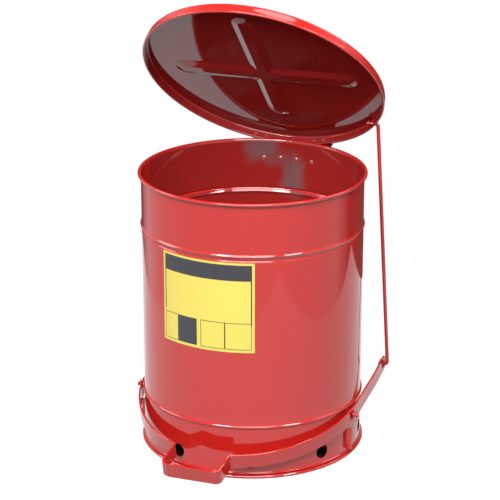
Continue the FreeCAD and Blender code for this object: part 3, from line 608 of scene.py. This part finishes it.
def tube(path, radius, sides=20, flat=0.75, dome=0.25):
    """A round bar along points in space, its ends closed by shallow domes."""
    spots = [Vector(p) for p in path]
    rings = []
    side = None
    for n, spot in enumerate(spots):
        ahead = (spots[min(n + 1, len(spots) - 1)] - spots[max(n - 1, 0)]).normalized()
        if side is None:
            side = ahead.orthogonal().normalized()
        side = (side - ahead * side.dot(ahead)).normalized()
        up = ahead.cross(side)
        rings.append([spot + (side * math.cos(t) + up * math.sin(t)) * radius
                      for t in (2 * math.pi * k / sides for k in range(sides))])
    for end, inward in ((0, spots[1] - spots[0]), (-1, spots[-2] - spots[-1])):
        cap = [spots[end] + (p - spots[end]) * flat for p in rings[end]]
        base = [p + inward.normalized() * radius * dome for p in rings[end]]
        rings[end] = base
        if end == 0:
            rings.insert(0, cap)
        else:
            rings.append(cap)
    verts = [tuple(p) for ring in rings for p in ring]
    faces = []
    for n in range(len(rings) - 1):
        for k in range(sides):
            a = n * sides + k
            b = n * sides + (k + 1) % sides
            faces.append((a, b, b + sides, a + sides))
    faces.append(tuple(reversed(range(sides))))
    last = (len(rings) - 1) * sides
    faces.append(tuple(range(last, last + sides)))
    return verts, faces


def bent(corners, radii, steps=8):
    """Points along straight runs joined by bends of the given radii."""
    spots = [Vector(c) for c in corners]
    path = [spots[0]]
    for n, radius in enumerate(radii, start=1):
        corner = spots[n]
        back = (spots[n - 1] - corner).normalized()
        ahead = (spots[n + 1] - corner).normalized()
        half = back.angle(ahead) / 2
        run = radius / math.tan(half)
        middle = (back + ahead).normalized()
        centre = corner + middle * (radius / math.sin(half))
        first = corner + back * run - centre
        last = corner + ahead * run - centre
        sweep = first.angle(last)
        for k in range(steps + 1):
            t = k / steps
            spot = first * math.sin((1 - t) * sweep) + last * math.sin(t * sweep)
            path.append(centre + spot / math.sin(sweep))
    path.append(spots[-1])
    return path


def rod_corners():
    """The rod's ends and bends, from where the CAD's rod and washers lie."""
    low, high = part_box("lift_rod")
    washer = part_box("rod_hook_washer")
    hook = ((washer[0] + washer[1]) / 2) / MM
    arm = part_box("rod_arm_washers")
    foot = ((arm[0] + arm[1]) / 2) / MM
    low = low / MM
    high = high / MM
    return [(178.5, foot.y, foot.z), (high.x - ROD, foot.y, foot.z),
            (166.5, hook.y, hook.z), (low.x, hook.y, hook.z)]


CORNERS = rod_corners()
piece("bent_lift_rod", tube(bent(CORNERS, [4.6, 4.6]), ROD), HARDWARE, "lift_rod",
      ["lift_rod"])


# ---- foot lever -----------------------------------------------------------------
# One steel strip bent on edge: a tail at the left pivot, a hoop round the front
# with the pedal loop bent out of it, and the lift arm behind the right pivot.
PIVOT = Vector((0, -29, 70))
LEVER_TILT = 11.5
STRIP = 24.0
STRIP_GAUGE = 3.0
HOOP_SIDE = 181.5
HOOP_FRONT = 198.0
FRONT_BEND = 170.0
ARM_SIDE = 185.3
ARM_TIP = 167.7
TAIL_TIP = 14.0
PIVOT_BORE = 3.28
SLOT_Y = 151.7
SLOT_HALF = 4.8
SLOT_REACH = 4.4


def on_circle(centre, radius, turn):
    """A point on a circle in plan, its turn in radians."""
    return Vector((centre[0] + radius * math.cos(turn), centre[1] + radius * math.sin(turn), 0))


def sweep(centre, radius, start, end, steps):
    """Points of an arc in plan, turns in radians."""
    return [on_circle(centre, radius, start + (end - start) * k / steps)
            for k in range(steps + 1)]


def spread(path, gap=8.0):
    """Adds points along long straight runs."""
    out = [path[0]]
    for spot in path[1:]:
        count = max(1, int((spot - out[-1]).length / gap))
        start = out[-1]
        out += [start.lerp(spot, k / count) for k in range(1, count + 1)]
    return out


def strip_path():
    """The strip's inner face in plan, from the left tail round to the arm's tip."""
    fore = -PIVOT.y
    over = HOOP_FRONT - FRONT_BEND
    wide = (HOOP_SIDE ** 2 + over ** 2 - FRONT_BEND ** 2) / (2 * (HOOP_SIDE - FRONT_BEND))
    front = (0, fore - over)
    join = math.atan2(over, wide - HOOP_SIDE)
    tail = math.pi - math.asin((TAIL_TIP - fore) / wide)
    left, right = -61.0, 31.0
    mouth = [-math.acos((left - 8) / FRONT_BEND), -math.acos((right + 8) / FRONT_BEND)]
    starts = [on_circle(front, FRONT_BEND, t) for t in mouth]
    leans = [Vector((-math.sin(mouth[0]), math.cos(mouth[0]), 0)),
             Vector((math.sin(mouth[1]), -math.cos(mouth[1]), 0))]
    turns = [p + v * ((x - p.x) / v.x) for p, v, x in zip(starts, leans, (left, right))]
    toe = fore - 241.0
    corners = [starts[0], turns[0], Vector((left - 2, toe + 4, 0)), Vector((left + 8, toe, 0)),
               Vector((right - 1, toe, 0)), turns[1], starts[1]]
    path = sweep((wide - HOOP_SIDE, fore), wide, tail, math.pi + join, 40)
    path += sweep(front, FRONT_BEND, join - math.pi, mouth[0], 24)[1:]
    path += bent(corners, [4.5, 6, 5, 7, 4.5])[1:]
    path += sweep(front, FRONT_BEND, mouth[1], -join, 30)[1:]
    path += sweep((HOOP_SIDE - wide, fore), wide, -join, 0, 16)[1:]
    path += bent([Vector((HOOP_SIDE, fore, 0)), Vector((ARM_SIDE, fore + 80, 0)),
                  Vector((ARM_SIDE, ARM_TIP, 0))], [40])[1:]
    return spread(path)


def half_height(spot):
    """Half the strip's width, rounded off at both tips."""
    half = STRIP / 2
    past = 0.0
    if spot.x > 150:
        past = spot.y - (ARM_TIP - half)
    if spot.x < -150:
        past = spot.y - (TAIL_TIP - half)
    return math.sqrt(max(half ** 2 - max(past, 0.0) ** 2, 0.36))


def finer_tips(path):
    """Closer points where the tips are rounded off."""
    half = STRIP / 2
    middle = [p for p in path if not (abs(p.x) > 150 and p.y > (
        ARM_TIP if p.x > 0 else TAIL_TIP) - half - 1)]
    steps = [math.sin(math.radians(t)) for t in range(0, 91, 10)]
    head = []
    for s in reversed(steps):
        y = TAIL_TIP - half + half * s
        near = min(path[:30], key=lambda p: abs(p.y - y))
        head.append(Vector((near.x, y, 0)))
    foot = [Vector((ARM_SIDE, ARM_TIP - half + half * s, 0)) for s in steps]
    return head + middle + foot


def strip_shape():
    """The strip stood on edge along its path, with eased corners."""
    path = finer_tips(strip_path())
    verts = []
    edge = 0.4
    for n, spot in enumerate(path):
        ahead = (path[min(n + 1, len(path) - 1)] - path[max(n - 1, 0)]).normalized()
        out = Vector((ahead.y, -ahead.x, 0))
        h = half_height(spot)
        e = min(edge, h / 2)
        g = STRIP_GAUGE
        section = [(e, -h), (g - e, -h), (g, e - h), (g, h - e), (g - e, h), (e, h),
                   (0, h - e), (0, e - h)]
        verts += [tuple(spot + out * a + Vector((0, 0, b))) for a, b in section]
    faces = []
    for n in range(len(path) - 1):
        for k in range(8):
            a = n * 8 + k
            b = n * 8 + (k + 1) % 8
            faces.append((a, a + 8, b + 8, b))
    faces.append(tuple(range(8)))
    last = (len(path) - 1) * 8
    faces.append(tuple(reversed(range(last, last + 8))))
    return verts, faces


TILTED = (Matrix.Translation(PIVOT) @ Matrix.Rotation(math.radians(LEVER_TILT), 4, "X"))
lever = piece("bent_strip_lever", moved(strip_shape(), TILTED), ENAMEL, "foot_lever",
              ["foot_lever"], sharp=35)
bore(lever, "pivot_bore", moved(rod_hole(-200, 200, 0, 0, PIVOT_BORE), TILTED))
bore(lever, "arm_slot",
     moved(rod_hole(150, 220, SLOT_Y, 0, SLOT_HALF, reach=SLOT_REACH), TILTED))


# ---- split pins ------------------------------------------------------------------
# Bent wire pins: an eye below, two legs through the bar's cross hole, and the
# ends spread apart above.  Steel wire, painted over with the rest.

def split_pin(centre, reach, eye):
    """A hairpin of wire standing upright at a place, spread at its top."""
    wire = 0.5
    foot = -(reach - 1.4)
    loop = eye - wire
    half = 0.54
    start = math.degrees(math.asin(half / loop))
    right = [(half + 0.42 * 2.6, reach), (half + 0.1, reach - 2.3), (half, reach - 2.8),
             (half, foot)]
    ring = arc((0, foot - loop), loop, 90 - start, start - 270, 24)
    left = [(-a, b) for a, b in reversed(right)]
    flat = right + ring[1:-1] + left
    return tube([(centre[0], centre[1] + a, centre[2] + b) for a, b in flat], wire, 10)


pivot_pins = [split_pin((x, PIVOT.y, PIVOT.z), 8.6, 2.7) for x in (187.4, -187.4)]
piece("pivot_split_pins", joined(*pivot_pins), HARDWARE, "can", ["pivot_cotters"])
arm_spot = (181, CORNERS[0][1], CORNERS[0][2])
piece("rod_arm_split_pin", split_pin(arm_spot, 8.6, 2.7), HARDWARE, "lift_rod",
      ["rod_arm_cotter"])
hook_spot = (149.9, CORNERS[3][1], CORNERS[3][2])
piece("rod_hook_split_pin", split_pin(hook_spot, 5.2, 2.2), HARDWARE, "lift_rod",
      ["rod_hook_cotter"])


# ---- warning panel ---------------------------------------------------------------
# A printed vinyl sheet on the front of the wall, left without words or signs:
# yellow with a dark heading band, side rules and a row of empty boxes.
SHEET_LEFT = -31.0
SHEET_RIGHT = 21.0
SHEET_LOW = 212.0
SHEET_HIGH = 358.0

# Printed vinyl has a satin face: a soft sheen beside the enamel's hard gloss.
VINYL = finish("yellow vinyl sheet", "E8D463", 0.35)
INK = finish("dark printed ink", "35353B", 0.4)


def patch(left, right, low, high, lift):
    """A piece of the sheet, by shares of its width and height."""
    span = SHEET_RIGHT - SHEET_LEFT
    rise = SHEET_HIGH - SHEET_LOW
    columns = max(2, int(abs(right - left) * 40))
    verts = []
    for k in range(columns + 1):
        share = left + (right - left) * k / columns
        turn = math.radians(-90 + SHEET_LEFT + span * share)
        for z in (SHEET_LOW + rise * low, SHEET_LOW + rise * high):
            verts.append(((WALL + lift) * math.cos(turn), (WALL + lift) * math.sin(turn), z))
    faces = [(2 * k, 2 * k + 2, 2 * k + 3, 2 * k + 1) for k in range(columns)]
    return verts, faces


def frame_lines(left, right, low, high, wide):
    """The four printed lines of an empty box."""
    tall = wide * 1.1
    return [patch(left, right, low, low + tall, 0.16), patch(left, right, high - tall, high, 0.16),
            patch(left, left + wide, low, high, 0.16), patch(right - wide, right, low, high, 0.16)]


piece("panel_sheet", patch(0, 1, 0, 1, 0.1), VINYL, "can")
marks = [patch(0.025, 0.975, 0.80, 0.975, 0.16), patch(0.025, 0.037, 0.36, 0.80, 0.16),
         patch(0.963, 0.975, 0.30, 0.80, 0.16), patch(0.20, 0.42, 0.03, 0.33, 0.16)]
marks += frame_lines(0.025, 0.20, 0.03, 0.33, 0.006)
marks += frame_lines(0.46, 0.71, 0.03, 0.33, 0.006)
marks += frame_lines(0.71, 0.97, 0.03, 0.33, 0.006)
piece("panel_print", joined(*marks), INK, "can")


# ---- plain CAD pieces --------------------------------------------------------------
# The bottom, the hinge, the brackets, the pins and the washers are shown as
# modelled, painted over with the rest; only the hinge pin's ends are bare.

# Bare drawn steel is a pale grey with a blurred shine, beside all the red.
STEEL = finish("bare drawn steel", "B8B4AE", 0.35, metallic=1.0)
FINISHES = {"body_enamel": ENAMEL, "hardware_enamel": HARDWARE, "weld_enamel": WELD,
            "pin_steel": STEEL}
slots = {row["node"]: row["material_slot"] for row in frame["record"]["subparts"]}
for node, item in frame["nodes"].items():
    item.data.materials.clear()
    item.data.materials.append(FINISHES[slots[node]])


# ---- stage ------------------------------------------------------------------------
# A white studio: a pale floor, a broad soft box high in front, weak ones at the
# sides, one overhead that the lid's edge mirrors, two strips that the beads
# mirror, and a white surround that shows behind the can and in its gloss.
HIGH_FADE = (0.45, 0.75, 0.25)
BACK_FADE = (0.4, 0.7, 0.1)


def combined(tree, operation, one, other):
    """Two outputs, or an output and a number, put through one sum."""
    step = add(tree, "ShaderNodeMath", operation=operation)
    tree.links.new(one, step.inputs[0])
    if isinstance(other, float):
        step.inputs[1].default_value = other
    else:
        tree.links.new(other, step.inputs[1])
    return step.outputs[0]


def seen_or_mirrored(tree):
    """1 for rays from the camera and those that a glossy or clear face sends on."""
    path = add(tree, "ShaderNodeLightPath")
    total = path.outputs["Is Camera Ray"]
    for name in ("Is Glossy Ray", "Is Transmission Ray"):
        total = combined(tree, "MAXIMUM", total, path.outputs[name])
    return total


def floor_paint(name, colour, shown):
    """Floor white; shown is the white added where it is seen or mirrored."""
    made = finish(name, colour, 0.9)
    tree = made.node_tree
    glow = add(tree, "ShaderNodeEmission", Color=srgb("FFFFFF"))
    both = add(tree, "ShaderNodeAddShader")
    level = combined(tree, "MULTIPLY", seen_or_mirrored(tree), shown)
    tree.links.new(level, glow.inputs["Strength"])
    tree.links.new(tree.nodes["Principled BSDF"].outputs[0], both.inputs[0])
    tree.links.new(glow.outputs[0], both.inputs[1])
    tree.links.new(both.outputs[0], tree.nodes["Material Output"].inputs["Surface"])
    return made


def stage_floor(colour, shown, half=800):
    """A square floor; the round under the can gets no added white."""
    count = 96
    turns = [2 * math.pi * k / count for k in range(count)]
    verts = [(WALL * math.cos(t), WALL * math.sin(t), 0) for t in turns]
    for t in turns:
        reach = half / max(abs(math.cos(t)), abs(math.sin(t)))
        verts.append((reach * math.cos(t), reach * math.sin(t), 0))
    faces = [tuple(range(count))]
    faces += [(k, count + k, count + (k + 1) % count, (k + 1) % count) for k in range(count)]
    mesh = bpy.data.meshes.new("studio_floor")
    mesh.from_pydata([tuple(c * MM for c in v) for v in verts], [], faces)
    mesh.materials.append(floor_paint("white studio floor", colour, shown))
    mesh.materials.append(finish("studio floor under the can", colour, 0.9))
    mesh.polygons[0].material_index = 1
    floor = bpy.data.objects.new("studio_floor", mesh)
    bpy.context.scene.collection.objects.link(floor)


def soft_box(name, turn, lift, size, power, reach=3.0):
    """A lamp at so many degrees round from the front and up, aimed at the can."""
    turn, lift = math.radians(turn), math.radians(lift)
    aim = Vector((math.sin(turn) * math.cos(lift), -math.cos(turn) * math.cos(lift),
                  math.sin(lift)))
    lamp = bpy.data.lights.new(name, "AREA")
    lamp.shape = "RECTANGLE"
    lamp.size, lamp.size_y = size
    lamp.energy = power
    item = bpy.data.objects.new(name, lamp)
    bpy.context.scene.collection.objects.link(item)
    item.location = Vector((0, 0, 0.35)) + aim * reach
    item.rotation_euler = aim.to_track_quat("Z", "Y").to_euler()


def fading(tree, held, start, end, low):
    """1 up to a start, falling to low at an end."""
    step = add(tree, "ShaderNodeMapRange", From_Min=start, From_Max=end, To_Min=1.0, To_Max=low)
    tree.links.new(held, step.inputs["Value"])
    return step.outputs["Result"]


def surround(room):
    """A dim room for the light; for the camera a white one, which the gloss
    mirrors up to where the white backdrop ends and not far behind the can."""
    world = bpy.data.worlds.new("studio surround")
    bpy.context.scene.world = world
    world.use_nodes = True
    tree = world.node_tree
    glow = tree.nodes["Background"]
    glow.inputs["Color"].default_value = srgb("FFFFFF")
    spot = add(tree, "ShaderNodeTexCoord")
    parts = add(tree, "ShaderNodeSeparateXYZ")
    path = add(tree, "ShaderNodeLightPath")
    tree.links.new(spot.outputs["Generated"], parts.inputs[0])
    ends = combined(tree, "MULTIPLY", fading(tree, parts.outputs["Z"], *HIGH_FADE),
                    fading(tree, parts.outputs["Y"], *BACK_FADE))
    mirrored = combined(tree, "MULTIPLY", seen_or_mirrored(tree), ends)
    shown = combined(tree, "MAXIMUM", path.outputs["Is Camera Ray"], mirrored)
    tree.links.new(combined(tree, "MAXIMUM", shown, room), glow.inputs["Strength"])


def camera():
    """Looks at the can from 20 degrees round to its right and 19 degrees up."""
    turn = math.radians(20.0)
    lift = math.radians(19.24)
    back = Vector((math.sin(turn) * math.cos(lift), -math.cos(turn) * math.cos(lift),
                   math.sin(lift)))
    target = Vector((-3.95, -1.44, 318.2)) * MM
    lens = bpy.data.cameras.new("studio camera")
    lens.sensor_width = 36
    lens.lens = 141.5
    item = bpy.data.objects.new("studio_camera", lens)
    bpy.context.scene.collection.objects.link(item)
    item.location = target + back * 3.153
    item.rotation_euler = back.to_track_quat("Z", "Y").to_euler()
    bpy.context.scene.camera = item


stage_floor("7A7A7A", 0.88)
soft_box("top_box", 47, 72, (1.4, 1.1), 26)
soft_box("right_box", 67, 42, (0.8, 0.35), 24)
soft_box("left_box", -17, 43, (0.8, 0.35), 24)
soft_box("front_fill", 12, 42, (2.6, 1.5), 112)
soft_box("left_fill", -78, 28, (1.2, 1.4), 26)
soft_box("right_fill", 130, 42, (1.2, 1.4), 18)
surround(0.08)
camera()
bpy.context.scene.view_settings.view_transform = "Standard"
